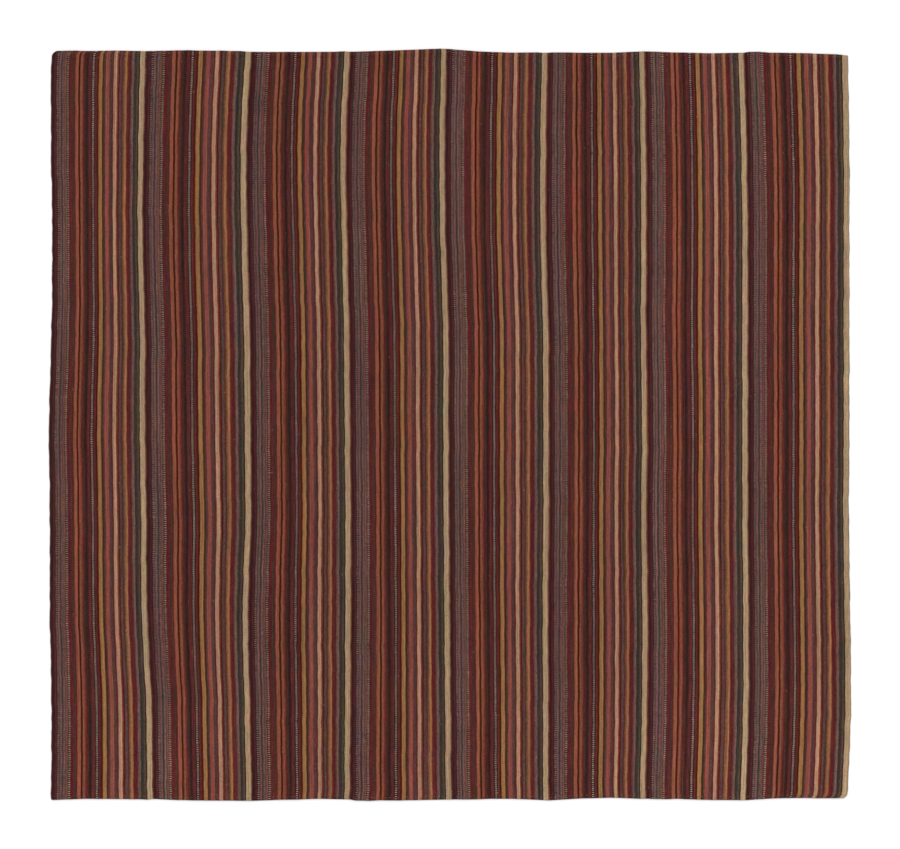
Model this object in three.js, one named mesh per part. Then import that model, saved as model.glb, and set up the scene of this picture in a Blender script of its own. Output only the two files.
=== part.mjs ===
// Flatweave rug lying flat: eight narrow warp-faced panels sewn side by side, with turned hems.
// Millimetres. +X runs across the stripes, +Y along them, +Z up.
// The origin is on the floor, under the middle of the rug.

import * as THREE from 'three';

// Driving dimensions
const PANEL_COUNT = 8;
const PANEL_WIDTH = 245; // mean width of a panel, from seam to seam
const END_Y = { top: 916, bottom: -921 }; // where the hems fold, on average
const CLOTH = 2; // thickness of the cloth
const SEAM_GAP = 0.3; // between neighbouring panels
const SELVEDGE = 0.7; // width over which a selvedge rounds off
const HEM_DEPTH = 8; // how far an end is turned under
const FLAP_STEP = 0.4; // length over which the turned end stops
const HEM_RISE = 9; // length over which the cloth climbs onto its turned end
const FOLD_NOSE = 0.5; // half the height of the flat that stands for the tip of a hem's fold
const CORNER_RADIUS = { topLeft: 15, others: 3 };
const WOOL = { color: 0x5d3d33, roughness: 0.95, metalness: 0 };

// How far each seam, and each outer edge, wanders right (+) or left (-) of an even pitch.
// The columns stand at these distances along the rug, from its top end to its bottom end.
const WANDER_Y = [915, 686, 458, 229, 0, -229, -458, -686, -915];
const WANDER = [
  { line: 'left edge', right: [0, 0, 3, 1, -5, -3, -3, 1, 0] },
  { line: 'seam 1', right: [-12, -17, -19, -13, -13, -10, -8, 3, 6] },
  { line: 'seam 2', right: [2, -9, -7, -1, 1, 2, -5, -1, 4] },
  { line: 'seam 3', right: [0, -10, -7, -2, 0, 2, 2, 1, -1] },
  { line: 'seam 4', right: [-8, -12, -10, -3, -3, -2, 0, 2, 4] },
  { line: 'seam 5', right: [-5, -9, -9, -3, -2, -2, -4, -3, -3] },
  { line: 'seam 6', right: [-12, -8, -7, -8, -5, -7, -4, -5, -10] },
  { line: 'seam 7', right: [-13, -6, -3, -3, -3, -3, -1, -1, -8] },
  { line: 'right edge', right: [-3, 1, 1, 1, 1, 0, 3, 5, -3] },
];

// How far each panel's ends reach past (+) or stop short of (-) the mean fold line,
// at the panel's left side, its middle and its right side.
const END_REACH = [
  { top: [2, 1, 1], bottom: [1, -2, 1] },
  { top: [1, 2, 0], bottom: [-2, 2, 2] },
  { top: [-1, -2, 0], bottom: [3, -1, -2] },
  { top: [-1, 2, 8], bottom: [2, 2, -1] },
  { top: [4, -2, -3], bottom: [1, -2, 1] },
  { top: [-2, -4, -1], bottom: [2, -4, -2] },
  { top: [0, -4, -6], bottom: [0, 2, 2] },
  { top: [-1, -4, -10], bottom: [1, -4, -3] },
];

// Low places where the cloth stands off the floor. The first is the crease of a folded rug.
const CREASE = { x: 330, y: -8, halfX: 640, halfY: 26, height: 1.6 };
const COCKLES = [
  CREASE,
  { x: -600, y: 470, halfX: 210, halfY: 240, height: 2.4 },
  { x: 190, y: 560, halfX: 150, halfY: 220, height: 2 },
  { x: 560, y: -480, halfX: 230, halfY: 260, height: 2.6 },
  { x: -310, y: -560, halfX: 160, halfY: 230, height: 2 },
];

// Rows of points along the rug, from top to bottom. Neighbouring panels share these rows,
// so both follow the same straight pieces of their seam.
const ROW_STEP = 96;
const OUTER_ROW = 9 * ROW_STEP;
const PAST_THE_END = 935; // past every hem, so that the last piece of a seam is straight
const CREASE_ROWS = [1, 0.5, 0, -0.5, -1].map((part) => CREASE.y + part * CREASE.halfY);
const SHARED_ROWS = [];
for (let y = OUTER_ROW; y >= -OUTER_ROW; y -= ROW_STEP) {
  if (y === 0) SHARED_ROWS.push(...CREASE_ROWS);
  else SHARED_ROWS.push(y);
}
// Rows at an end of a panel, by their distance from the tip of its fold
const HEM_ROWS = [0, 0.3 * CLOTH, CLOTH, HEM_DEPTH, HEM_DEPTH + FLAP_STEP];
HEM_ROWS.push(HEM_DEPTH + FLAP_STEP + HEM_RISE / 2, HEM_DEPTH + FLAP_STEP + HEM_RISE);
const COLUMNS = [0, 0.25, 0.5, 0.75, 1]; // across a panel, as shares of its width

function seamCurve(number) {
  const evenX = (number - PANEL_COUNT / 2) * PANEL_WIDTH;
  const points = WANDER_Y.map((y, k) => new THREE.Vector3(evenX + WANDER[number].right[k], y, 0));
  return new THREE.CatmullRomCurve3(points, false, 'catmullrom');
}

function seamPieces(number) {
  const curve = seamCurve(number);
  const reach = WANDER_Y[0];
  return [PAST_THE_END, ...SHARED_ROWS, -PAST_THE_END].map((y) => {
    const share = (reach - THREE.MathUtils.clamp(y, -reach, reach)) / (2 * reach);
    return { x: curve.getPoint(share).x, y };
  });
}

const seams = WANDER.map((row, number) => seamPieces(number));

function seamX(number, y) {
  const pieces = seams[number];
  let k = 1;
  while (k < pieces.length - 1 && pieces[k].y > y) k += 1;
  const above = pieces[k - 1];
  const below = pieces[k];
  return THREE.MathUtils.mapLinear(y, above.y, below.y, above.x, below.x);
}

// A smooth line through its values at the left side, the middle and the right side
function through([left, middle, right], share) {
  return (
    left * (1 - share) * (1 - 2 * share) +
    middle * 4 * share * (1 - share) +
    right * share * (2 * share - 1)
  );
}

function cockle(x, y) {
  let height = 0;
  for (const c of COCKLES) {
    const away = Math.hypot((x - c.x) / c.halfX, (y - c.y) / c.halfY);
    if (away < 1) height += c.height * Math.cos((away * Math.PI) / 2) ** 2;
  }
  return height;
}

// The underside and the face of the cloth at a distance from the tip of its hem
function clothHeights(fromTip) {
  if (fromTip < CLOTH) {
    const half = Math.max(FOLD_NOSE, Math.sqrt(CLOTH ** 2 - (CLOTH - fromTip) ** 2));
    return { under: CLOTH - half, face: CLOTH + half };
  }
  if (fromTip <= HEM_DEPTH) return { under: 0, face: 2 * CLOTH };
  const climb = (fromTip - HEM_DEPTH - FLAP_STEP) / HEM_RISE;
  const lift = CLOTH * (1 - THREE.MathUtils.smoothstep(climb, 0, 1));
  return { under: lift, face: lift + CLOTH };
}

function cornerInset(fromTip, radius) {
  if (fromTip >= radius) return 0;
  return radius - Math.sqrt(radius ** 2 - (radius - fromTip) ** 2);
}

// One cross-section of a panel, as a closed ring of points: the left selvedge, the face
// from left to right, the right selvedge and the underside from right to left.
function ring(panel, row) {
  const topLeft = panel === 0 && row.end === 'top';
  const leftRadius = topLeft ? CORNER_RADIUS.topLeft : CORNER_RADIUS.others;
  const leftInset = panel === 0 ? cornerInset(row.fromTip, leftRadius) : 0;
  const lastPanel = panel === PANEL_COUNT - 1;
  const rightInset = lastPanel ? cornerInset(row.fromTip, CORNER_RADIUS.others) : 0;
  const heights = clothHeights(row.fromTip);
  const columns = COLUMNS.map((share) => {
    const y = row.yAt(share);
    const left = seamX(panel, y) + SEAM_GAP / 2 + leftInset;
    const right = seamX(panel + 1, y) - SEAM_GAP / 2 - rightInset;
    const x = THREE.MathUtils.lerp(left + SELVEDGE, right - SELVEDGE, share);
    const rise = cockle(x, y);
    return { x, y, left, right, face: rise + heights.face, under: rise + heights.under };
  });
  const side = (c, x) => [x, c.y, (c.face + c.under) / 2];
  const first = columns[0];
  const last = columns[columns.length - 1];
  return [
    side(first, first.left),
    ...columns.map((c) => [c.x, c.y, c.face]),
    side(last, last.right),
    ...columns.map((c) => [c.x, c.y, c.under]).reverse(),
  ];
}

function panelRows(panel) {
  const hemRow = (end, fromTip) => ({
    end,
    fromTip,
    yAt: (share) => {
      const outward = Math.sign(END_Y[end]);
      return END_Y[end] + outward * (through(END_REACH[panel][end], share) - fromTip);
    },
  });
  const middleRow = (y) => ({ end: 'none', fromTip: Infinity, yAt: () => y });
  return [
    ...HEM_ROWS.map((fromTip) => hemRow('top', fromTip)),
    ...SHARED_ROWS.map(middleRow),
    ...HEM_ROWS.map((fromTip) => hemRow('bottom', fromTip)).reverse(),
  ];
}

function panelGeometry(panel) {
  const rings = panelRows(panel).map((row) => ring(panel, row));
  const count = rings[0].length;
  const indices = [];
  for (let r = 0; r + 1 < rings.length; r += 1) {
    for (let k = 0; k < count; k += 1) {
      const here = r * count + k;
      const next = r * count + ((k + 1) % count);
      indices.push(here, here + count, next, next, here + count, next + count);
    }
  }
  // The tip of each hem is closed across, from its face to its underside.
  const last = (rings.length - 1) * count;
  const close = (a, b, c) => indices.push(a, b, c, last + a, last + c, last + b);
  for (let k = 0; k < count / 2; k += 1) {
    const below = count - k;
    if (k > 0) close(k, below - 1, below);
    if (k + 1 < below - 1) close(k, k + 1, below - 1);
  }
  const geometry = new THREE.BufferGeometry();
  geometry.setAttribute('position', new THREE.Float32BufferAttribute(rings.flat(2), 3));
  geometry.setIndex(indices);
  geometry.computeVertexNormals();
  return geometry;
}

const rug = new THREE.Group();
for (let panel = 0; panel < PANEL_COUNT; panel += 1) {
  const mesh = new THREE.Mesh(panelGeometry(panel), new THREE.MeshStandardMaterial(WOOL));
  mesh.name = `panel_${panel + 1}`;
  rug.add(mesh);
}

export default rug;
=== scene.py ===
# The looks of the flatweave rug, for Blender 4.5: its cloth and sewing, the floor, light and camera.
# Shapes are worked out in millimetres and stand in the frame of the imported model, in metres.
# +X runs across the stripes, +Y along them, +Z up.

import math

import bpy
import numpy as np
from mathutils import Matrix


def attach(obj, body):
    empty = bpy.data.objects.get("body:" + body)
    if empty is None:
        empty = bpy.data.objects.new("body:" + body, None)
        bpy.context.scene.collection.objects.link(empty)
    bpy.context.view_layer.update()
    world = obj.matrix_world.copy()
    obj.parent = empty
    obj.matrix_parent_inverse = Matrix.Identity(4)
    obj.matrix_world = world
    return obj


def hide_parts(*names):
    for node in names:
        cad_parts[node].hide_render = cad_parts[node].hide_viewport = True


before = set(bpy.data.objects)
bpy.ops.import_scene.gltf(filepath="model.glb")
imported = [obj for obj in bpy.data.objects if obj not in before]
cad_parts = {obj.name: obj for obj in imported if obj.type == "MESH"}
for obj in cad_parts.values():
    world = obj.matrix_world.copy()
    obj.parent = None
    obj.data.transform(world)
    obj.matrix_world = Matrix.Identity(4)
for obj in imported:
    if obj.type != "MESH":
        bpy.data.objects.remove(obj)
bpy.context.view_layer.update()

MM = 0.001
SEED = 20
random = np.random.default_rng(SEED)
line_random = np.random.default_rng(SEED + 1)  # for the lines of the seams, sides and ends alone

# The rug's shape, as in the solids, but with finer corners and ends
PANEL_COUNT = 8
PANEL_WIDTH = 245
TOP_Y = 916
BOTTOM_Y = -921
CLOTH = 2
SELVEDGE = 0.7
HEM_DEPTH = 8
FLAP_STEP = 0.4
HEM_RISE = 9
# Outer corners: the radius, how far the side leans in towards the corner, and over what length
TOP_LEFT_CORNER = {"radius": 15, "lean": 3.4, "length": 40}
BOTTOM_RIGHT_CORNER = {"radius": 10, "lean": 3, "length": 27}
OTHER_CORNER = {"radius": 3, "lean": 0, "length": 1}
LEFT_INSET = 1.3  # room for the weft turns at the left edge
# How far each line wanders right (+) or left (-) of an even pitch: the left edge, the seams and the
# right edge, each at places evenly spaced along the rug, from its top end to its bottom end
WANDER_REACH = 915
WANDER = [
    [0, 0, 3, 1, -5, -3, -3, 1, 0],
    [-12, -17, -19, -13, -13, -10, -8, 3, 6],
    [2, -9, -7, -1, 1, 2, -5, -1, 4],
    [0, -10, -7, -2, 0, 2, 2, 1, -1],
    [-8, -12, -10, -3, -3, -2, 0, 2, 4],
    [-5, -9, -9, -3, -2, -2, -4, -3, -3],
    [-12, -8, -7, -8, -5, -7, -4, -5, -10],
    [-13, -6, -3, -3, -3, -3, -1, -1, -8],
    [-3, 1, 1, 1, 1, 0, 3, 5, -3],
]
# How far each panel's ends reach past the mean line, at its left side, middle and right side
TOP_REACH = [
    [2, 1, 1], [1, 2, 0], [-1, -2, 0], [-1, 2, 8],
    [4, -2, -3], [-2, -4, -1], [0, -4, -6], [-1, -4, -9],
]
BOTTOM_REACH = [
    [1, -2, 1], [-2, 2, 2], [3, -1, -2], [2, 2, -1],
    [1, -2, 1], [2, -4, -2], [-2, 0, 1], [1, -4, -3],
]
# Low places where the cloth stands off the floor. The first is the crease of a folded rug.
COCKLES = [
    {"x": 330, "y": -8, "half_x": 640, "half_y": 26, "height": 1.6},
    {"x": -600, "y": 470, "half_x": 210, "half_y": 240, "height": 2.4},
    {"x": 190, "y": 560, "half_x": 150, "half_y": 220, "height": 2},
    {"x": 560, "y": -480, "half_x": 230, "half_y": 260, "height": 2.6},
    {"x": -310, "y": -560, "half_x": 160, "half_y": 230, "height": 2},
]

# The weave
ENDS = 200  # warp ends that show side by side on the face of a panel
PICKS = 706  # weft picks from hem to hem
PICK_UNEVENNESS = 0.06  # how far the spacing of the picks drifts along a panel
TIGHTNESS_WAVES = [83, 131, 227]  # lengths, in picks
PICK_JITTER = 0.09  # of a pick, from one to the next
FIRM_PICKS = 3  # at each end, which keep their places
PICK_WAVE = 0.5  # how far a pick's line strays from straight
PICK_BOWS = [{"lengths": [29, 53], "bows": 3}, {"lengths": [17, 41], "bows": 7}]
SETTLE_SHARE = 1 / 60  # of a panel's length: at its ends, the picks come straight over this much
RIB = 0.16  # half the height of the rib over each pick
RIB_UNEVENNESS = 0.3
RIB_BOWS = 5  # half waves of this unevenness across a panel
RIB_SWING = 4  # how far they shift sideways along the panel, by waves of these lengths in picks
RIB_WAVES = [23, 61]
UNEVEN = 0.2  # how far the cloth lies unevenly on the floor, on average
SEAM_DIP = 0.4  # how far the face sinks at a selvedge
SEAM_DIP_WIDTH = 1.6
TIP_NOSE = 0.15  # half the height of the flat at the tip of a hem's fold
# How far the stripes of each panel sway right (+) of even, along the panel from top to bottom
SWAY_Y = [862, 567, 273, -22, -317, -612]
SWAY = [
    [-1, 0, -1, -3, -2, -1], [-2, -2, -3, -2, 1, 1], [-1, 1, 1, 1, 1, 2], [1, 0, 0, 0, 0, 0],
    [0, 0, 0, 0, 0, 1], [0, 2, 2, 1, 1, 1], [0, 0, -1, 0, 0, 0], [-2, 0, -2, -1, -1, -1],
]


# Small waves in the line of each end, side and seam: length and phase of each
LINE_STRAY = 0.45  # how far they take a line aside, on average
LINE_LENGTHS = [37, 61, 94, 143, 222]
LINE_WAVES = {
    line: [(length, line_random.uniform(0, 2 * math.pi)) for length in LINE_LENGTHS]
    for line in ("top", "bottom", *range(PANEL_COUNT + 1))
}


def line_stray(line, places):
    waves = LINE_WAVES[line]
    total = sum(np.sin(2 * math.pi * places / length + phase) for length, phase in waves)
    return LINE_STRAY * total / math.sqrt(len(waves) / 2)


def seam_x(number, y):
    """Where a seam, or an outer edge, runs at y: a smooth curve through its wander."""
    wander = np.array(WANDER[number], float)
    before = 2 * wander[0] - wander[1]
    after = 2 * wander[-1] - wander[-2]
    points = np.concatenate([[before], wander, [after]])
    spans = len(wander) - 1
    along = (WANDER_REACH - np.clip(y, -WANDER_REACH, WANDER_REACH)) / (2 * WANDER_REACH) * spans
    first = np.minimum(along.astype(int), spans - 1)
    t = along - first
    a, b, c, d = (points[first + k] for k in range(4))
    bend = (2 * a - 5 * b + 4 * c - d) * t**2 + (3 * b - a - 3 * c + d) * t**3
    even = (number - PANEL_COUNT / 2) * PANEL_WIDTH
    return even + b + ((c - a) * t + bend) / 2 + line_stray(number, y)


def through(values, share):
    """A smooth line through its values at the left side, the middle and the right side."""
    left, middle, right = values
    return (
        left * (1 - share) * (1 - 2 * share)
        + middle * 4 * share * (1 - share)
        + right * share * (2 * share - 1)
    )


END_MEET = 8  # how far from a seam its sewing draws the ends of two panels level


def end_reach(reaches, end, panel, share):
    """How far a panel's end reaches past the rug's mean line there."""
    reach = through(reaches[panel], share)
    for beside, own, other, away in ((panel - 1, 0, 2, share), (panel + 1, 2, 0, 1 - share)):
        if 0 <= beside < PANEL_COUNT:
            step = reaches[beside][other] - reaches[panel][own]
            reach = reach + step / 2 * np.exp(-((away * PANEL_WIDTH / END_MEET) ** 2))
    return reach + line_stray(end, (panel + share) * PANEL_WIDTH)


def top_y(panel, share):
    return TOP_Y + end_reach(TOP_REACH, "top", panel, share)


def bottom_y(panel, share):
    return BOTTOM_Y - end_reach(BOTTOM_REACH, "bottom", panel, share)


def smoothstep(x):
    x = np.clip(x, 0, 1)
    return x * x * (3 - 2 * x)


# Long low waves in the lie of the cloth: direction, length and phase of each
LIE_WAVE_COUNT = 12
LIE_LENGTHS = (70, 260)
LIE_WAVES = [
    (random.uniform(0, math.pi), random.uniform(*LIE_LENGTHS), random.uniform(0, 2 * math.pi))
    for _ in range(LIE_WAVE_COUNT)
]


def lie(x, y):
    """How high the cloth's underside stands off the floor, away from its hems."""
    height = np.zeros(np.broadcast(x, y).shape)
    for c in COCKLES:
        away = np.hypot((x - c["x"]) / c["half_x"], (y - c["y"]) / c["half_y"])
        height += np.where(away < 1, c["height"] * np.cos(away * math.pi / 2) ** 2, 0)
    waves = sum(
        np.sin((x * math.cos(turn) + y * math.sin(turn)) * 2 * math.pi / length + phase)
        for turn, length, phase in LIE_WAVES
    )
    return height + np.maximum(0, UNEVEN * (1 + waves / math.sqrt(len(LIE_WAVES) / 2)))


def cloth_heights(from_tip):
    """The underside and the face of the cloth at a distance from the tip of its hem."""
    inner = np.clip(CLOTH - from_tip, 0, CLOTH)
    half = np.maximum(TIP_NOSE, np.sqrt(CLOTH**2 - inner**2))
    climb = CLOTH * (1 - smoothstep((from_tip - HEM_DEPTH - FLAP_STEP) / HEM_RISE))
    under = np.where(from_tip < CLOTH, CLOTH - half, np.where(from_tip <= HEM_DEPTH, 0, climb))
    face = np.where(from_tip < CLOTH, CLOTH + half, climb + CLOTH)
    return under, face


def corner_inset(from_tip, corner):
    radius = corner["radius"]
    inner = np.clip(radius - from_tip, 0, radius)
    leaning = corner["lean"] * smoothstep(1 - from_tip / corner["length"])
    return leaning + radius - np.sqrt(radius**2 - inner**2)


def side_insets(panel, at_top, from_tip):
    """How far a rounded outer corner of the rug draws in a panel's left and right sides."""
    left = right = np.zeros_like(from_tip)
    other = corner_inset(from_tip, OTHER_CORNER)
    if panel == 0:
        left = LEFT_INSET + np.where(at_top, corner_inset(from_tip, TOP_LEFT_CORNER), other)
    if panel == PANEL_COUNT - 1:
        right = np.where(at_top, other, corner_inset(from_tip, BOTTOM_RIGHT_CORNER))
    return left, right


def drift(places, lengths):
    """A slow random wave, between about -1 and 1."""
    total = np.zeros_like(places, dtype=float)
    for length in lengths:
        total += np.sin(2 * math.pi * places / length + random.uniform(0, 2 * math.pi))
    return total / len(lengths)


NEAR_SIDE = np.array([0, 0.006, 0.02, 0.05])  # columns close to a selvedge, as shares of the width
FACE_COLUMNS = np.concatenate([NEAR_SIDE, np.linspace(0.1, 0.9, 17), 1 - NEAR_SIDE[::-1]])
UNDER_COLUMNS = np.array([1, 2 / 3, 1 / 3, 0])
# The first pick is split finely, because it goes round the fold of the hem.
FOLD_ROWS = np.array([0, 0.05, 0.2, 0.45, 0.75])
ROWS = np.concatenate([FOLD_ROWS, np.arange(1, PICKS - 0.75, 0.5), PICKS - FOLD_ROWS[::-1]])
ROW_COUNT = len(ROWS)
PICK_NUMBERS = np.arange(PICKS + 1)
FACE_COUNT = len(FACE_COLUMNS)
RING = np.concatenate([[0], FACE_COLUMNS, [1], UNDER_COLUMNS])
RING_COUNT = len(RING)
BAKE_PARTS = 3  # a panel is so long that its face is laid out in this many lengths, side by side
BAKE_FACE_WIDTH = 0.88  # of the bake's square; the rest holds the underside
BAKE_GAP = 0.004
PANEL_ROWS_APART = 1000  # sets the picks of one panel apart from those of the next, for its colours


def row_shares():
    """Where the rows of a panel stand between its two ends, from 0 to 1."""
    tight = 1 + PICK_UNEVENNESS * drift(ROWS, TIGHTNESS_WAVES)
    steps = np.diff(ROWS) * (tight[1:] + tight[:-1]) / 2
    shares = np.concatenate([[0], np.cumsum(steps)])
    jitter = random.normal(0, PICK_JITTER, PICKS + 1)
    jitter[:FIRM_PICKS] = 0
    jitter[-FIRM_PICKS:] = 0
    return shares / shares[-1] + np.interp(ROWS, PICK_NUMBERS, jitter) / PICKS


def pick_strays(panel, ring):
    """How far along the rug each pick strays from a straight line."""
    stray = 0
    for order, bow in enumerate(PICK_BOWS):
        bowed = np.sin(bow["bows"] * math.pi * ring + order * panel)
        stray = stray + PICK_WAVE * drift(ROWS, bow["lengths"])[:, None] * bowed
    return stray


def rib_heights(ring):
    """The ribs of the face: high over the middle of each pick, and low between two picks."""
    crest = np.where(ROWS % 1 == 0.5, 1, -1) * ((ROWS >= 1) & (ROWS <= PICKS - 1))
    strength = 1 + RIB_UNEVENNESS * random.normal(0, 1, PICKS + 1)
    rib = RIB * crest * np.interp(ROWS, PICK_NUMBERS, strength)
    swing = RIB_SWING * drift(ROWS, RIB_WAVES)
    return rib[:, None] * (1 + RIB_UNEVENNESS * np.sin(RIB_BOWS * math.pi * ring + swing[:, None]))


def panel_points(panel):
    """The points of a panel, row by row, with the place of each in the weave."""
    shares = row_shares()[:, None]
    ring = RING[None, :]
    top = top_y(panel, ring)
    bottom = bottom_y(panel, ring)
    settled = np.minimum(1, np.minimum(shares, 1 - shares) / SETTLE_SHARE)
    inside = settled * 4 * ring * (1 - ring)
    y = top + (bottom - top) * shares + pick_strays(panel, ring) * inside
    at_top = shares < 0.5
    from_tip = np.where(at_top, top - y, y - bottom)
    left_inset, right_inset = side_insets(panel, at_top, from_tip)
    left = seam_x(panel, y) + left_inset
    right = seam_x(panel + 1, y) - right_inset
    x = left + SELVEDGE + (right - left - 2 * SELVEDGE) * ring
    under, face = cloth_heights(from_tip)
    rise = lie(x, y)
    from_side = np.minimum(x - left, right - x)
    dip = SEAM_DIP * np.exp(-((from_side / SEAM_DIP_WIDTH) ** 2))
    relief = (rib_heights(ring) - dip) * smoothstep(from_tip / CLOTH)
    z = rise + np.where(np.arange(RING_COUNT) <= FACE_COUNT, face + relief, under)
    for side, edge in ((0, left), (FACE_COUNT + 1, right)):
        x[:, side] = edge[:, side]
        z[:, side] = rise[:, side] + (face[:, side] + under[:, side]) / 2
    across = (x - left) / (right - left)
    sway = np.interp(-y, -np.array(SWAY_Y), SWAY[panel]) / PANEL_WIDTH
    across = np.clip(across - sway * np.sin(math.pi * across), 0, 1)
    along = np.broadcast_to(ROWS[:, None] + PANEL_ROWS_APART * panel, across.shape)
    return np.stack([x, y, z], -1) * MM, np.stack([across, along], -1)


def new_mesh(name, points, faces, uv_maps=None):
    """A smooth mesh from arrays: points, and groups of faces with equal numbers of corners."""
    mesh = bpy.data.meshes.new(name)
    corners = np.concatenate([f.ravel() for f in faces]).astype(np.int32)
    sizes = np.concatenate([np.full(len(f), f.shape[1]) for f in faces])
    starts = np.concatenate([[0], np.cumsum(sizes)[:-1]]).astype(np.int32)
    mesh.vertices.add(len(points))
    mesh.vertices.foreach_set("co", points.astype(np.float32).ravel())
    mesh.loops.add(len(corners))
    mesh.loops.foreach_set("vertex_index", corners)
    mesh.polygons.add(len(sizes))
    mesh.polygons.foreach_set("loop_start", starts)
    mesh.update(calc_edges=True)
    mesh.polygons.foreach_set("use_smooth", np.ones(len(sizes), bool))
    for title, places in (uv_maps or {}).items():
        layer = mesh.uv_layers.new(name=title)
        layer.data.foreach_set("uv", places.astype(np.float32).ravel())
    mesh.validate()
    mesh.update()
    piece = bpy.data.objects.new(name, mesh)
    bpy.context.scene.collection.objects.link(piece)
    return piece


def bake_share(ring_index, past, margin):
    """A corner's place across its strip of the bake. The points of the sides lie past the face."""
    beside = np.where(ring_index == 0, -past, 1 + past)
    on_side = (ring_index == 0) | (ring_index == FACE_COUNT + 1)
    return (np.where(on_side, beside, RING[ring_index]) + margin) / (1 + 2 * margin)


def bake_places(row, ring_index, part):
    """Where the corners of the face lie in the bake's square, in one of its parts."""
    part_rows = (ROW_COUNT - 1) / BAKE_PARTS
    wide = BAKE_FACE_WIDTH / BAKE_PARTS - BAKE_GAP
    across = bake_share(ring_index, past=0.006, margin=0.01)
    u = BAKE_FACE_WIDTH * part / BAKE_PARTS + BAKE_GAP / 2 + wide * across
    v = BAKE_GAP / 2 + (row - part * part_rows) / part_rows * (1 - BAKE_GAP)
    return np.stack([u, v], -1)


def under_places(row, ring_index):
    """Where the corners of the underside lie in the bake's square, beside the face."""
    wide = 1 - BAKE_FACE_WIDTH - 2 * BAKE_GAP
    u = BAKE_FACE_WIDTH + BAKE_GAP + wide * bake_share(ring_index, past=0.02, margin=0.03)
    v = BAKE_GAP / 2 + row / (ROW_COUNT - 1) * (1 - BAKE_GAP)
    return np.stack([u, v], -1)


def make_panel(panel):
    points, weave = panel_points(panel)
    last_row = ROW_COUNT - 1
    row = np.arange(last_row)[:, None] + np.zeros((1, RING_COUNT), int)
    ring = np.zeros((last_row, 1), int) + np.arange(RING_COUNT)[None, :]
    after = (ring + 1) % RING_COUNT
    corner_rows = np.stack([row, row + 1, row + 1, row], -1)
    corner_rings = np.stack([ring, ring, after, after], -1)
    quads = (corner_rows * RING_COUNT + corner_rings).reshape(-1, 4)
    part = np.minimum(row * BAKE_PARTS // last_row, BAKE_PARTS - 1)[..., None]
    on_face = (ring <= FACE_COUNT)[..., None, None]
    face_bake = bake_places(corner_rows, corner_rings, part)
    bake = np.where(on_face, face_bake, under_places(corner_rows, corner_rings))
    # Each end is closed by one thin face across the tip of its fold.
    tip = np.arange(RING_COUNT)
    caps = [tip[None, :], (tip[::-1] + last_row * RING_COUNT)[None, :]]
    above = 1 + np.searchsorted(FACE_COLUMNS, RING - 1e-9)  # the face's point over each point below
    nearest = np.where(tip <= FACE_COUNT + 1, tip, above)
    cap_bakes = [
        bake_places(np.zeros(RING_COUNT), nearest, 0),
        bake_places(np.full(RING_COUNT, last_row), nearest[::-1], BAKE_PARTS - 1),
    ]
    flat_weave = weave.reshape(-1, 2)
    faces = [quads] + caps
    cloth_map = np.concatenate([flat_weave[f.ravel()] for f in faces])
    bake_map = np.concatenate([bake.reshape(-1, 2)] + cap_bakes)
    uv_maps = {"cloth": cloth_map, "OFBake": bake_map}
    return new_mesh(f"cloth_{panel + 1}", points.reshape(-1, 3), faces, uv_maps)


# Colours of the yarns, as they look in even light
YARNS = {
    "edge_brown": (126, 88, 71),
    "aubergine": (59, 29, 31),
    "wine": (76, 38, 38),
    "soot": (44, 26, 24),
    "pitch": (28, 16, 15),
    "rose": (109, 77, 72),
    "rose_dark": (104, 77, 72),
    "rosewood": (106, 70, 61),
    "slate": (66, 52, 51),
    "brown": (80, 48, 38),
    "crimson": (89, 36, 34),
    "claret": (88, 42, 39),
    "olive": (74, 46, 40),
    "rust": (136, 80, 60),
    "oxblood": (74, 27, 17),
    "terracotta": (125, 74, 57),
    "madder": (108, 50, 39),
    "umber": (70, 43, 37),
    "chestnut": (70, 40, 27),
    "bark": (54, 32, 28),
    "garnet": (54, 23, 19),
    "ochre": (144, 103, 66),
    "brick": (134, 72, 62),
    "plum": (92, 58, 54),
    "heather": (82, 54, 51),
    "blush": (166, 126, 101),
    "mauve": (86, 62, 60),
    "amber": (146, 97, 68),
    "amber_dark": (115, 74, 53),
    "forest": (55, 50, 42),
    "cream": (166, 139, 108),
    "ash_red": (156, 122, 115),
    "ash": (171, 136, 126),
    "ash_grey": (174, 144, 134),
    "ash_dark": (90, 70, 60),
    "slub": (190, 165, 140),
}
# In these stripes pale dots stand on the dark yarn, one in every second pick, by this share.
LADDERS = {"ash_red": 1, "ash": 1, "ash_grey": 1, "ash_dark": 0.4}
# The stripes of a panel from left to right: yarn, and how many ends wide
STRIPES = [
    ("edge_brown", 1), ("aubergine", 6), ("wine", 4), ("garnet", 1), ("ash_red", 4), ("pitch", 1),
    ("rose", 4), ("slate", 3.5), ("rose_dark", 3.5), ("brown", 1), ("rosewood", 4), ("brown", 1),
    ("ash", 4), ("bark", 0.5), ("crimson", 6), ("olive", 5.5), ("crimson", 2.5), ("rust", 6.5),
    ("oxblood", 4), ("terracotta", 4.5), ("madder", 2.5), ("crimson", 1.5), ("umber", 4),
    ("bark", 5), ("wine", 1.5), ("claret", 5.5), ("garnet", 1.5), ("ash_grey", 4), ("soot", 2),
    ("claret", 4), ("oxblood", 4), ("ochre", 7.5), ("chestnut", 4), ("heather", 3), ("brick", 7.5),
    ("plum", 2.5), ("heather", 4), ("crimson", 3), ("blush", 7), ("madder", 3), ("oxblood", 2.5),
    ("mauve", 4.5), ("brown", 3.5), ("amber_dark", 3), ("amber", 4.5), ("madder", 1.5),
    ("crimson", 4.5), ("wine", 2.5), ("plum", 2), ("rose", 4.5), ("forest", 6), ("ash_dark", 4),
    ("soot", 2), ("cream", 10),
]
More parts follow.
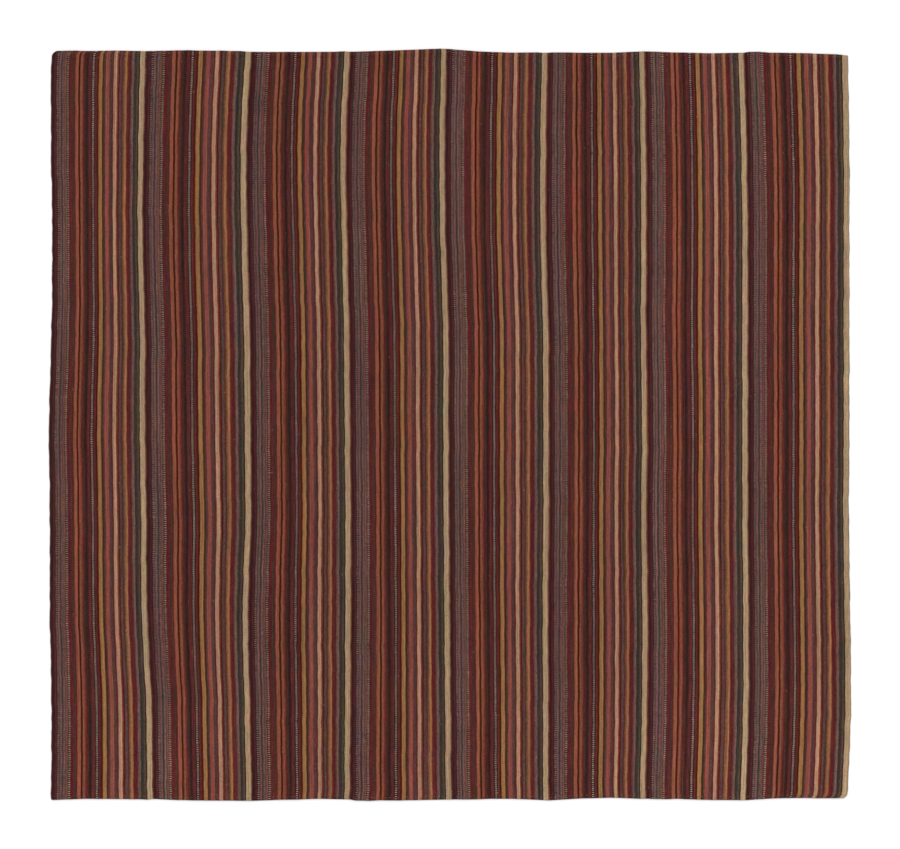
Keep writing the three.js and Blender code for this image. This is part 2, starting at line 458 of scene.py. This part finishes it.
# Painted light and shade: how much lighter or darker each panel is made beside the others, and how
# much painted light is added by the bottom end
PANEL_SHADES = [1.02, 1, 0.96, 0.97, 1, 0.98, 1.08, 1.04]
PAINTED_BOTTOM_LIGHT = 1.1
PAINTED_LIGHT_FROM = 500  # the pick from which the painted light grows
LIGHT_LEVEL = 1.15  # how bright a white surface on the floor comes out
SHINE = 0.003  # what the wool returns without taking on its colour


def linear(colour):
    """A colour as it looks on screen, turned into the share of light that the surface returns."""
    shares = np.array(colour, float) / 255
    level = np.where(shares <= 0.04045, shares / 12.92, ((shares + 0.055) / 1.055) ** 2.4)
    return [float(v) for v in np.maximum(level / LIGHT_LEVEL - SHINE, 0.001)]


class Nodes:
    """Adds nodes to a material and hands back the output of each."""

    def __init__(self, name):
        self.material = bpy.data.materials.new(name)
        self.material.use_nodes = True
        self.tree = self.material.node_tree
        self.shader = self.tree.nodes["Principled BSDF"]

    def fill(self, socket, value):
        if isinstance(value, bpy.types.NodeSocket):
            self.tree.links.new(value, socket)
        else:
            socket.default_value = value

    def add(self, kind, inputs=None, **settings):
        node = self.tree.nodes.new(kind)
        for key, value in settings.items():
            setattr(node, key, value)
        for key, value in (inputs or {}).items():
            self.fill(node.inputs[key], value)
        return node

    def math(self, operation, *values):
        inputs = dict(enumerate(values))
        return self.add("ShaderNodeMath", inputs, operation=operation).outputs[0]

    def join(self, x, y, z=0.0):
        return self.add("ShaderNodeCombineXYZ", {0: x, 1: y, 2: z}).outputs[0]

    def noise(self, vector, scale, detail=0.0, output=0):
        inputs = {"Vector": vector, "Scale": scale, "Detail": detail}
        return self.add("ShaderNodeTexNoise", inputs).outputs[output]

    def white(self, x, y):
        """A random value for each whole place."""
        inputs = {"Vector": self.join(x, y)}
        return self.add("ShaderNodeTexWhiteNoise", inputs, noise_dimensions="2D").outputs[0]

    def mix(self, factor, first, second):
        node = self.add("ShaderNodeMix", {0: factor, 6: first, 7: second}, data_type="RGBA")
        return node.outputs[2]

    def vector_math(self, operation, *values):
        inputs = dict(enumerate(values))
        return self.add("ShaderNodeVectorMath", inputs, operation=operation).outputs[0]

    def scaled(self, colour, factor):
        inputs = {0: colour, 3: factor}
        return self.add("ShaderNodeVectorMath", inputs, operation="SCALE").outputs[0]

    def spread(self, value, amount):
        """1 where the value is a half, and up to this amount more or less as it goes to 1 or 0."""
        return self.math("MULTIPLY_ADD", value, 2 * amount, 1 - amount)


DOT_LENGTH = 0.66  # of a pick
RAMP_PARTS = 4  # a ramp holds too few stripes for the whole width
RAMP_LEAD = 0.35  # of an end: stops stand this far before the first yarn of their stripe
PART_LEAD = 0.1  # of an end: each part of the ramp begins this far before its first yarn


def stripe_stops(part):
    """The stops of one part of the stripes: place, colour, and how little of a ladder it is."""
    part_ends = ENDS / RAMP_PARTS
    stops = []
    begins = 0
    for yarn, ends in STRIPES:
        place = (begins - RAMP_LEAD - part * part_ends) / part_ends
        colour = linear(YARNS[yarn]) + [1 - LADDERS.get(yarn, 0)]
        if place <= 0:
            stops = [(0, colour)]
        elif place < 1:
            stops.append((place, colour))
        begins += ends
    return stops


def step_ramp(nodes, place, stops):
    """A ramp whose value, and share, changes in steps at each of its stops."""
    node = nodes.add("ShaderNodeValToRGB", {0: place})
    ramp = node.color_ramp
    ramp.interpolation = "CONSTANT"
    while len(ramp.elements) < len(stops):
        ramp.elements.new(1)
    for element, (position, colour) in zip(ramp.elements, stops):
        element.position = position
        element.color = colour
    return node.outputs[0], node.outputs[1]


class Weave:
    """Where a point of the cloth lies in its rows of bricks, each half a brick from the last."""

    def __init__(self, nodes):
        place = nodes.add("ShaderNodeUVMap", uv_map="cloth").outputs[0]
        split = nodes.add("ShaderNodeSeparateXYZ", {0: place})
        self.across, self.along = split.outputs[0], split.outputs[1]
        self.panel = nodes.math("FLOOR", nodes.math("DIVIDE", self.along, float(PANEL_ROWS_APART)))
        self.pick = nodes.math("FLOOR", self.along)
        self.odd = nodes.math("MODULO", self.pick, 2.0)
        half = nodes.math("MULTIPLY", self.odd, 0.5)
        shift = nodes.math("SUBTRACT", half, 0.25)  # a quarter of a brick to either side
        brick = nodes.math("MULTIPLY_ADD", self.across, float(ENDS), shift)
        number = nodes.math("FLOOR", brick)
        self.centre = nodes.math("SUBTRACT", nodes.math("ADD", number, 0.5), half)
        self.warp = nodes.math("SUBTRACT", nodes.math("MULTIPLY", number, 2.0), self.odd)
        self.brick_x = nodes.math("FRACT", brick)
        self.brick_y = nodes.math("FRACT", self.along)
        self.bow_x = nodes.math("MULTIPLY_ADD", self.brick_x, 2.0, -1.0)
        self.bow_y = nodes.math("MULTIPLY_ADD", self.brick_y, 2.0, -1.0)


def stripe_colour(nodes, weave):
    """The colour of each brick's yarn, with the dark places between a ladder's dots."""
    part_ends = ENDS / RAMP_PARTS
    colour = plain = None
    for part in range(RAMP_PARTS):
        local = nodes.math("MULTIPLY_ADD", weave.centre, 1 / part_ends, -float(part))
        part_colour, part_plain = step_ramp(nodes, local, stripe_stops(part))
        if part == 0:
            colour, plain = part_colour, part_plain
            continue
        here = nodes.math("GREATER_THAN", weave.centre, part * part_ends - PART_LEAD)
        colour = nodes.mix(here, colour, part_colour)
        inputs = {0: here, 2: plain, 3: part_plain}
        plain = nodes.add("ShaderNodeMix", inputs, data_type="FLOAT").outputs[0]
    past_dot = nodes.math("GREATER_THAN", nodes.math("ABSOLUTE", weave.bow_y), DOT_LENGTH)
    between = nodes.math("MAXIMUM", weave.odd, past_dot)
    ladder = nodes.math("MULTIPLY", nodes.math("SUBTRACT", 1.0, plain), between)
    return nodes.mix(ladder, colour, (*linear(YARNS["pitch"]), 1))


# How much lighter or darker the wool gets: from end to end, in streaks and slower bands along the
# ends, from brick to brick, and in patches of each row
SHADES = {"end": 0.08, "streak": 0.34, "band": 0.34, "brick": 0.34, "row": 0.3}
# How fast these change, in cells of noise to each end and each pick
SHADE_ACROSS = 0.4
STREAK_ALONG = 0.05
BAND_ALONG = 0.008
ROW_ALONG = 0.83
CALM = 0.6  # how much of its change from brick to brick pale yarn keeps
CALM_FROM = 0.13  # yarn is pale by how much red light it returns: from here it is calmer
CALM_TO = 0.21  # and here it is calmest


def wool_shade(nodes, weave, colour):
    """How light the wool is at each place, about 1 on average, with painted light and shade by panel
    and towards the bottom end.
    """
    beside = nodes.math("MULTIPLY", weave.centre, SHADE_ACROSS)

    def patches(places, along, detail=0.0):
        vector = nodes.join(beside, nodes.math("MULTIPLY", places, along), weave.panel)
        return nodes.noise(vector, 1.0, detail)

    end = nodes.spread(nodes.white(weave.warp, weave.panel), SHADES["end"])
    streak = nodes.spread(patches(weave.along, STREAK_ALONG, detail=1.0), SHADES["streak"])
    band = nodes.spread(patches(weave.along, BAND_ALONG), SHADES["band"])
    brick = nodes.spread(nodes.white(weave.warp, weave.pick), SHADES["brick"])
    row = nodes.spread(patches(weave.pick, ROW_ALONG), SHADES["row"])
    shade = nodes.math("MULTIPLY", nodes.math("MULTIPLY", end, streak), band)
    fine = nodes.math("MULTIPLY", brick, row)
    red = nodes.add("ShaderNodeSeparateColor", {0: colour}).outputs[0]
    inputs = {0: red, 1: CALM_FROM, 2: CALM_TO, 3: 1.0, 4: CALM}
    calm = nodes.add("ShaderNodeMapRange", inputs).outputs[0]
    fine = nodes.math("MULTIPLY_ADD", nodes.math("SUBTRACT", fine, 1.0), calm, 1.0)
    shade = nodes.math("MULTIPLY", shade, fine)

    # Painted light and shade: each panel made lighter or darker than the others, and lighter towards
    # the bottom end
    lightest_panel = max(PANEL_SHADES)
    stops = [
        (number / PANEL_COUNT, (level / lightest_panel,) * 3 + (1,))
        for number, level in enumerate(PANEL_SHADES)
    ]
    middle = nodes.math("ADD", weave.panel, 0.5)
    panel_place = nodes.math("DIVIDE", middle, float(PANEL_COUNT))
    panel_shade = nodes.math("MULTIPLY", step_ramp(nodes, panel_place, stops)[0], lightest_panel)
    shade = nodes.math("MULTIPLY", shade, panel_shade)
    local_row = nodes.math("MODULO", weave.along, float(PANEL_ROWS_APART))
    inputs = {0: local_row, 1: PAINTED_LIGHT_FROM, 2: PICKS, 3: 1.0, 4: PAINTED_BOTTOM_LIGHT}
    bottom_light = nodes.add("ShaderNodeMapRange", inputs, interpolation_type="SMOOTHSTEP").outputs[0]
    return nodes.math("MULTIPLY", shade, bottom_light)


SCREEN_GAMMA = 2.2
DYE_ACROSS = 0.25  # cells of noise to each end
DYE_ALONG = (0.055, 0.01)  # and to each pick, for its quick and its slow changes
DYE_CHANGE = (0.075, 0.037, 0.045)  # in red, green and blue, as seen on screen
LEAST_LIGHT = 0.03


def uneven_dye(nodes, weave, colour):
    """The dye took unevenly, so the hue changes along each stripe, by steps alike in all yarns."""
    seen = nodes.add("ShaderNodeGamma", {0: colour, 1: 1 / SCREEN_GAMMA}).outputs[0]
    beside = nodes.math("MULTIPLY", weave.centre, DYE_ACROSS)
    for reach in DYE_ALONG:
        place = nodes.join(beside, nodes.math("MULTIPLY", weave.along, reach), weave.panel)
        dye = nodes.noise(place, 1.0, output=1)
        change = nodes.vector_math("MULTIPLY_ADD", dye, DYE_CHANGE, [-v / 2 for v in DYE_CHANGE])
        seen = nodes.vector_math("ADD", seen, change)
    seen = nodes.vector_math("MAXIMUM", seen, (LEAST_LIGHT,) * 3)
    return nodes.add("ShaderNodeGamma", {0: seen, 1: SCREEN_GAMMA}).outputs[0]


BRICK_BULGE = 3.0  # how squarely a brick ends, along the rug
PAINTED_GAP_LEVEL = 0.65  # how light the painted shade leaves a gap between two bricks
GAP_SLOPE = 2.0  # how steeply the painted shade gives way towards a brick's middle
PAINTED_GAP_MAKEUP = 1.058  # makes up for the light that the painted shade in the gaps takes
SLUB_SHARE = 0.0002  # of the bricks are slubs of pale wool
SLUB_STRENGTH = 0.5
PLY_SLANT = 2.4
PLY_HEIGHT = 0.1  # beside the height of a brick
FIBRE_HEIGHT = 0.5
FIBRES_ACROSS = 3  # cells of noise to each end
FIBRES_ALONG = 2.0
BRICK_BUMP = {"strength": 0.8, "depth": 0.35}
THREAD_BUMP = {"strength": 0.7, "depth": 0.2}
LEAST_ROUGHNESS = 0.84
WOOL_SPECULAR = 0.1
WOOL_SHEEN = 0.03


def finish_wool(nodes, colour, fibre, height, bump):
    """Sets a wool's colour and bump, and its roughness by its fibres."""
    roughness = nodes.math("MULTIPLY_ADD", fibre, 1 - LEAST_ROUGHNESS, LEAST_ROUGHNESS)
    inputs = {"Strength": bump["strength"], "Distance": bump["depth"] * MM, "Height": height}
    nodes.fill(nodes.shader.inputs["Base Color"], colour)
    nodes.fill(nodes.shader.inputs["Roughness"], roughness)
    nodes.fill(nodes.shader.inputs["Normal"], nodes.add("ShaderNodeBump", inputs).outputs[0])
    nodes.shader.inputs["Specular IOR Level"].default_value = WOOL_SPECULAR
    nodes.shader.inputs["Sheen Weight"].default_value = WOOL_SHEEN
    return nodes.material


def wool_cloth():
    """Warp-faced cloth: the stripes' yarns, as rows of short bricks with painted shade in the gaps
    between them.
    """
    nodes = Nodes("striped_wool")
    weave = Weave(nodes)
    square = nodes.math("MULTIPLY", weave.bow_x, weave.bow_x)
    round_x = nodes.math("SQRT", nodes.math("SUBTRACT", 1.0, square))
    blunt = nodes.math("POWER", nodes.math("ABSOLUTE", weave.bow_y), BRICK_BULGE)
    dome = nodes.math("MULTIPLY", round_x, nodes.math("SUBTRACT", 1.0, blunt))
    # Painted shade: the colour darkens in the gaps between the bricks, where the dome falls away
    raised = nodes.math("MINIMUM", nodes.math("MULTIPLY", dome, GAP_SLOPE), 1.0)
    depth = nodes.math("MULTIPLY_ADD", raised, 1 - PAINTED_GAP_LEVEL, PAINTED_GAP_LEVEL)
    stripes = stripe_colour(nodes, weave)
    shade = nodes.math("MULTIPLY", wool_shade(nodes, weave, stripes), depth)
    # lifts all the colour to make up for the painted shade in the gaps
    shade = nodes.math("MULTIPLY", shade, PAINTED_GAP_MAKEUP)
    colour = nodes.scaled(uneven_dye(nodes, weave, stripes), shade)
    slub = nodes.math("GREATER_THAN", nodes.white(weave.pick, weave.warp), 1 - SLUB_SHARE)
    slub = nodes.math("MULTIPLY", slub, SLUB_STRENGTH)
    colour = nodes.mix(slub, colour, (*linear(YARNS["slub"]), 1))

    # Plied yarn on each brick, and loose fibres over all
    ply = nodes.math("ADD", weave.brick_x, nodes.math("MULTIPLY", weave.brick_y, PLY_SLANT))
    ply = nodes.math("SINE", nodes.math("MULTIPLY", ply, 2 * math.pi))
    fibre_x = nodes.math("MULTIPLY", weave.across, FIBRES_ACROSS * ENDS)
    fibre_y = nodes.math("MULTIPLY", weave.along, FIBRES_ALONG)
    fibre = nodes.noise(nodes.join(fibre_x, fibre_y), 1.0, 2.0)
    height = nodes.math("MULTIPLY_ADD", ply, PLY_HEIGHT, dome)
    height = nodes.math("MULTIPLY_ADD", fibre, FIBRE_HEIGHT, height)
    return finish_wool(nodes, colour, fibre, height, BRICK_BUMP)


THREAD_NOISE = {"slow": 9.0, "stitch": 160.0, "fine": 2500.0}  # cells to the metre
THREAD_CONTRAST = 1.6
THREAD_DARKNESS = 1.1
THREAD_FINE = 0.2


def thread_wool(name, dark, light):
    """Sewing thread, a little uneven in colour along the rug and from stitch to stitch."""
    nodes = Nodes(name)
    place = nodes.add("ShaderNodeTexCoord").outputs["Object"]
    slow = nodes.noise(place, THREAD_NOISE["slow"], 1.0)
    stitch = nodes.noise(place, THREAD_NOISE["stitch"], 1.0)
    fine = nodes.noise(place, THREAD_NOISE["fine"], 2.0)
    level = nodes.math("MULTIPLY_ADD", slow, THREAD_CONTRAST, -THREAD_DARKNESS)
    level = nodes.math("MULTIPLY_ADD", stitch, THREAD_CONTRAST, level)
    level = nodes.math("MINIMUM", nodes.math("MAXIMUM", level, 0.0), 1.0)
    colour = nodes.mix(level, (*linear(dark), 1), (*linear(light), 1))
    colour = nodes.scaled(colour, nodes.spread(fine, THREAD_FINE))
    return finish_wool(nodes, colour, fine, fine, THREAD_BUMP)


# The colours of each thread, from dark to light
THREADS = {
    "dull_thread": ((70, 38, 33), (96, 58, 47)),
    "brown_thread": ((100, 62, 48), (160, 110, 82)),
    "rust_thread": ((132, 74, 54), (178, 106, 78)),
    "tan_thread": ((92, 68, 52), (168, 136, 104)),
    "weft_thread": ((56, 47, 38), (104, 88, 72)),
    "weft_dark_thread": ((48, 29, 27), (78, 52, 46)),
}

TUBE_SIDES = 6
TAPER = 0.6  # how thick a stitch is at its ends


def tubes(name, paths, sideways, radius, ends, material):
    """Short thick threads. Paths is (threads, points, 3), and sideways is the level direction to the
    left of each path, in which one thread or one point may stand for all."""
    threads, count, _ = paths.shape
    angles = np.arange(TUBE_SIDES) / TUBE_SIDES * 2 * math.pi
    shape = np.ones(count)
    shape[[0, -1]] = ends
    flat = sideways[:, :, None, :] * np.cos(angles)[None, None, :, None]
    upward = np.array([0, 0, 1]) * np.sin(angles)[None, None, :, None]
    rounds = (flat + upward) * (radius[:, None, None, None] * shape[None, :, None, None])
    points = paths[:, :, None, :] + rounds
    base = np.arange(threads)[:, None, None] * count * TUBE_SIDES
    side = np.arange(TUBE_SIDES)[None, None, :]
    after = (side + 1) % TUBE_SIDES
    near = base + np.arange(count - 1)[None, :, None] * TUBE_SIDES
    far = near + TUBE_SIDES
    quads = np.stack([near + side, near + after, far + after, far + side], -1).reshape(-1, 4)
    start_cap = base[:, :, 0] + np.arange(TUBE_SIDES)[::-1]
    end_cap = base[:, :, 0] + (count - 1) * TUBE_SIDES + np.arange(TUBE_SIDES)
    piece = new_mesh(name, points.reshape(-1, 3) * MM, [quads, start_cap, end_cap])
    piece.data.materials.append(material)
    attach(piece, "root")


def face_height(x, y, from_tip):
    return lie(x, y) + cloth_heights(from_tip)[1]


# The sewing of each seam: the thread of its stitches, their pitch, how far they reach to its left
# and right, and their slant
SEWING = [
    {"thread": "brown_thread", "pitch": 5.3, "left": 1.4, "right": 2.8, "slant": 0.8},
    {"thread": "brown_thread", "pitch": 5.2, "left": 1.0, "right": 2.8, "slant": 1.0},
    {"thread": "rust_thread", "pitch": 5.4, "left": 1.2, "right": 3.2, "slant": 0.8},
    {"thread": "brown_thread", "pitch": 5.4, "left": 1.2, "right": 3.0, "slant": 1.0},
    {"thread": "rust_thread", "pitch": 5.2, "left": 1.2, "right": 3.4, "slant": 1.2},
    {"thread": "rust_thread", "pitch": 5.2, "left": 1.4, "right": 3.2, "slant": 0.8},
    {"thread": "brown_thread", "pitch": 5.4, "left": 1.2, "right": 3.0, "slant": 1.0},
]
SEW_RADIUS = 1
SEW_MARGIN = 2.5  # from the tip of a hem to its first stitch
SEW_STEPS = np.array([-1, -0.6, 0.6, 1])  # the points of a stitch, from its left end to its right
SEW_OVER = np.array([-0.5, 0.25, 0.25, -0.5])  # and how far each lies over the face
# How unlike each other the stitches are: along the seam, and in reach, slant and thickness
SEW_SPREAD = {"along": 0.35, "left": 0.25, "right": 0.1, "slant": 0.3, "radius": 0.1}


def seam_ends(number):
    """Where both panels beside a seam begin and end."""
    top = min(top_y(number - 1, 1), top_y(number, 0))
    return top, max(bottom_y(number - 1, 1), bottom_y(number, 0))


def make_seam(number, materials):
    """Overcast stitches that hold two neighbouring panels together."""
    sewing = SEWING[number - 1]
    top, bottom = seam_ends(number)
    y = np.arange(top - SEW_MARGIN, bottom + SEW_MARGIN, -sewing["pitch"])
    y = y + random.normal(0, SEW_SPREAD["along"], len(y))
    from_tip = np.minimum(top - y, y - bottom)
    reach_left = sewing["left"] * (1 + random.normal(0, SEW_SPREAD["left"], len(y)))
    reach_right = sewing["right"] * (1 + random.normal(0, SEW_SPREAD["right"], len(y)))
    slant = sewing["slant"] + random.normal(0, SEW_SPREAD["slant"], len(y))
    reach = np.where(SEW_STEPS[None, :] < 0, reach_left[:, None], reach_right[:, None])
    px = seam_x(number, y)[:, None] + SEW_STEPS * reach
    py = y[:, None] - SEW_STEPS * slant[:, None]
    pz = face_height(px, py, from_tip[:, None]) + SEW_OVER
    sideways = np.stack([slant, (reach_left + reach_right) / 2, np.zeros(len(y))], -1)
    sideways /= np.linalg.norm(sideways, axis=1)[:, None]
    radius = SEW_RADIUS * (1 + random.normal(0, SEW_SPREAD["radius"], len(y)))
    paths = np.stack([px, py, pz], -1)
    material = materials[sewing["thread"]]
    tubes(f"seam_{number}_sewing", paths, sideways[:, None], radius, TAPER, material)


CORD_STEP = 4
CORD_RADIUS = 0.8
CORD_OFFSET = 1.1  # to the right of the seam
CORD_SINK = 0.35  # how deep its middle lies below the face
CORD_STRAY = 0.18  # how far it strays sideways
CORD_ROLL = 0.05  # and up or down


def make_cord(number, materials):
    """The laid thread that fills the groove of a seam, under its stitches."""
    top, bottom = seam_ends(number)
    margin = SEW_MARGIN / 2
    y = np.arange(top - margin, bottom + margin, -CORD_STEP)
    x = seam_x(number, y) + CORD_OFFSET + random.normal(0, CORD_STRAY, len(y))
    from_tip = np.minimum(top - y, y - bottom)
    z = face_height(x, y, from_tip) - CORD_SINK + random.normal(0, CORD_ROLL, len(y))
    path = np.stack([x, y, z], -1)[None]
    sideways = np.array([[[1.0, 0, 0]]])
    radius = np.array([CORD_RADIUS])
    material = materials["dull_thread"]
    tubes(f"seam_{number}_cord", path, sideways, radius, TAPER, material)


HEM_STITCH_PITCH = 11
HEM_STITCH_LENGTH = 2.8
HEM_STITCH_IN = {"top": 6.2, "bottom": 7.2}  # from the fold
HEM_STITCH_RADIUS = 0.55
HEM_STEPS = np.array([-0.5, -0.3, 0.3, 0.5])  # the points of a stitch, as shares of its length
HEM_OVER = np.array([-0.45, 0.2, 0.2, -0.45])  # and how far each lies over the face
HEM_FROM_LEFT = 12  # from the left side to the first stitch
HEM_FROM_RIGHT = 8  # and from the last stitch to the right side
HEM_TILT = 0.25
# How unlike each other the stitches are: along the hem, in their place on it, in tilt and in height
HEM_SPREAD = {"along": 1.2, "inward": 0.4, "tilt": 0.2, "height": 0.12}


def hem_fold(end, x, px):
    """Where the fold of the hem runs at the points px of the stitches, whose middles are at x."""
    line, mean_y = (top_y, TOP_Y) if end == "top" else (bottom_y, BOTTOM_Y)
    edges = [seam_x(number, np.array([mean_y]))[0] for number in range(PANEL_COUNT + 1)]
    fold = np.zeros_like(px)
    for panel, (left, right) in enumerate(zip(edges, edges[1:])):
        here = (x >= left) | (panel == 0)
        fold = np.where(here[:, None], line(panel, (px - left) / (right - left)), fold)
    return fold


def make_hem_sewing(end, materials):
    """Running stitches in tan thread, which hold the turned end down."""
    left, right = (seam_x(side, np.array([0.0]))[0] for side in (0, PANEL_COUNT))
    x = np.arange(left + HEM_FROM_LEFT, right - HEM_FROM_RIGHT, HEM_STITCH_PITCH)
    x = x + random.normal(0, HEM_SPREAD["along"], len(x))
    inward = HEM_STITCH_IN[end] + random.normal(0, HEM_SPREAD["inward"], len(x))
    tilt = random.normal(HEM_TILT, HEM_SPREAD["tilt"], len(x))
    px = x[:, None] + HEM_STEPS * HEM_STITCH_LENGTH
    outward = 1 if end == "top" else -1
    rise = tilt[:, None] * HEM_STEPS * HEM_STITCH_LENGTH
    py = hem_fold(end, x, px) - outward * inward[:, None] + rise
    height = random.normal(0, HEM_SPREAD["height"], len(x))
    pz = face_height(px, py, inward[:, None]) + HEM_OVER + height[:, None]
    sideways = np.stack([-tilt, np.ones(len(x)), np.zeros(len(x))], -1)
    sideways /= np.linalg.norm(sideways, axis=1)[:, None]
    radius = np.full(len(x), HEM_STITCH_RADIUS)
    paths = np.stack([px, py, pz], -1)
    material = materials["tan_thread"]
    tubes(f"{end}_hem_sewing", paths, sideways[:, None], radius, TAPER, material)


TURN_RADIUS = 0.55
TURN_REACH = 0.7
TURN_MARGIN = 12  # from the mean line of an end to the first turn
TURN_POINTS = 6
TURN_HALF = 0.36  # of the distance between two turns
TURN_SINK = 0.5  # how far inside the selvedge a turn begins
TURN_CLIMB = 0.25  # from the middle of the cloth, to the weft's next way across
# How unlike each other the turns are: along the side, in how far they reach out, and in length
TURN_SPREAD = {"along": 0.3, "reach": 0.15, "half": 0.1}
# The sides: the panel, where its selvedge lies across it, its line, the way out, and the thread
SIDES = {
    "left": (0, 0, 0, -1, "weft_dark_thread"),
    "right": (PANEL_COUNT - 1, 1, PANEL_COUNT, 1, "weft_thread"),
}


def make_weft_turns(side, materials):
    """The weft turns back at each outer selvedge, once every two picks."""
    panel, share, number, outward, thread = SIDES[side]
    pitch = (TOP_Y - BOTTOM_Y) / PICKS * 2
    y = np.arange(TOP_Y - TURN_MARGIN, BOTTOM_Y + TURN_MARGIN, -pitch)
    y = y + random.normal(0, TURN_SPREAD["along"], len(y))
    from_tip = np.minimum(top_y(panel, share) - y, y - bottom_y(panel, share))
    left_inset, right_inset = side_insets(panel, y > 0, from_tip)
    x = seam_x(number, y) + left_inset - right_inset
    turn = np.linspace(-math.pi / 2, math.pi / 2, TURN_POINTS)
    reach = TURN_REACH * (1 + random.normal(0, TURN_SPREAD["reach"], len(y)))
    half = pitch * TURN_HALF * (1 + random.normal(0, TURN_SPREAD["half"], len(y)))
    px = x[:, None] + outward * (reach[:, None] * np.cos(turn) - TURN_SINK)
    py = y[:, None] + half[:, None] * np.sin(turn)
    under, face = cloth_heights(from_tip[:, None])
    climb = np.linspace(-TURN_CLIMB, TURN_CLIMB, TURN_POINTS)
    pz = lie(px, py) + (under + face) / 2 + climb
    # The threads bend level, so the direction to their left turns with them.
    along_x = -outward * np.sin(turn)
    along_y = np.cos(turn) * half.mean() / reach.mean()
    sideways = np.stack([-along_y, along_x, 0 * turn], -1)
    sideways /= np.linalg.norm(sideways, axis=1)[:, None]
    paths = np.stack([px, py, pz], -1)
    radius = np.full(len(y), TURN_RADIUS)
    tubes(f"{side}_weft_turns", paths, sideways[None], radius, 1, materials[thread])


cloth = wool_cloth()
for panel in range(PANEL_COUNT):
    piece = make_panel(panel)
    piece.data.materials.append(cloth)
    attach(piece, "root")
    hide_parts(f"panel_{panel + 1}")

threads = {name: thread_wool(name, dark, light) for name, (dark, light) in THREADS.items()}
for number in range(1, PANEL_COUNT):
    make_seam(number, threads)
    make_cord(number, threads)
for end in ("top", "bottom"):
    make_hem_sewing(end, threads)
for side in ("left", "right"):
    make_weft_turns(side, threads)

# A plain white floor, just under the rug
FLOOR_REACH = 25
FLOOR_Z = -0.0003
FLOOR_WHITE = 0.92
FLOOR_ROUGHNESS = 0.95
FLOOR_SPECULAR = 0.1
FLOOR_CORNERS = np.array([[-1, -1, 0], [1, -1, 0], [1, 1, 0], [-1, 1, 0]])
floor_points = FLOOR_CORNERS * FLOOR_REACH + [0, 0, FLOOR_Z]
floor = new_mesh("floor", floor_points, [np.array([[0, 1, 2, 3]])])
floor_nodes = Nodes("pale_floor")
floor_nodes.shader.inputs["Base Color"].default_value = (FLOOR_WHITE, FLOOR_WHITE, FLOOR_WHITE, 1)
floor_nodes.shader.inputs["Roughness"].default_value = FLOOR_ROUGHNESS
floor_nodes.shader.inputs["Specular IOR Level"].default_value = FLOOR_SPECULAR
floor.data.materials.append(floor_nodes.material)

# Soft studio light: a bright even surround and one broad lamp from the upper left
SURROUND_STRENGTH = 0.78
LAMP_STRENGTH = 1.5
LAMP_BREADTH = math.radians(40)
LAMP_TURN = (math.radians(-32), math.radians(-22), 0)
world = bpy.data.worlds.new("studio")
bpy.context.scene.world = world
world.use_nodes = True
surround = world.node_tree.nodes["Background"]
surround.inputs["Color"].default_value = (1, 1, 1, 1)
surround.inputs["Strength"].default_value = SURROUND_STRENGTH
lamp_data = bpy.data.lights.new("studio_lamp", "SUN")
lamp_data.energy = LAMP_STRENGTH
lamp_data.angle = LAMP_BREADTH
lamp = bpy.data.objects.new("studio_lamp", lamp_data)
lamp.rotation_euler = LAMP_TURN
bpy.context.scene.collection.objects.link(lamp)
bpy.context.scene.view_settings.view_transform = "Standard"

# The camera looks straight down. The photograph is 2.21 m wide on the floor.
CAMERA_HEIGHT = 8
VIEW_WIDTH = 2.2104
VIEW_CENTRE = (0.0009, -0.0003)
VIEW_DEPTH = 100
SENSOR_WIDTH = 36
camera_data = bpy.data.cameras.new("camera")
camera_data.sensor_width = SENSOR_WIDTH
camera_data.lens = SENSOR_WIDTH * CAMERA_HEIGHT / VIEW_WIDTH
camera_data.clip_end = VIEW_DEPTH
camera = bpy.data.objects.new("camera", camera_data)
camera.location = (*VIEW_CENTRE, CAMERA_HEIGHT)
bpy.context.scene.collection.objects.link(camera)
bpy.context.scene.camera = camera

bpy.context.view_layer.update()
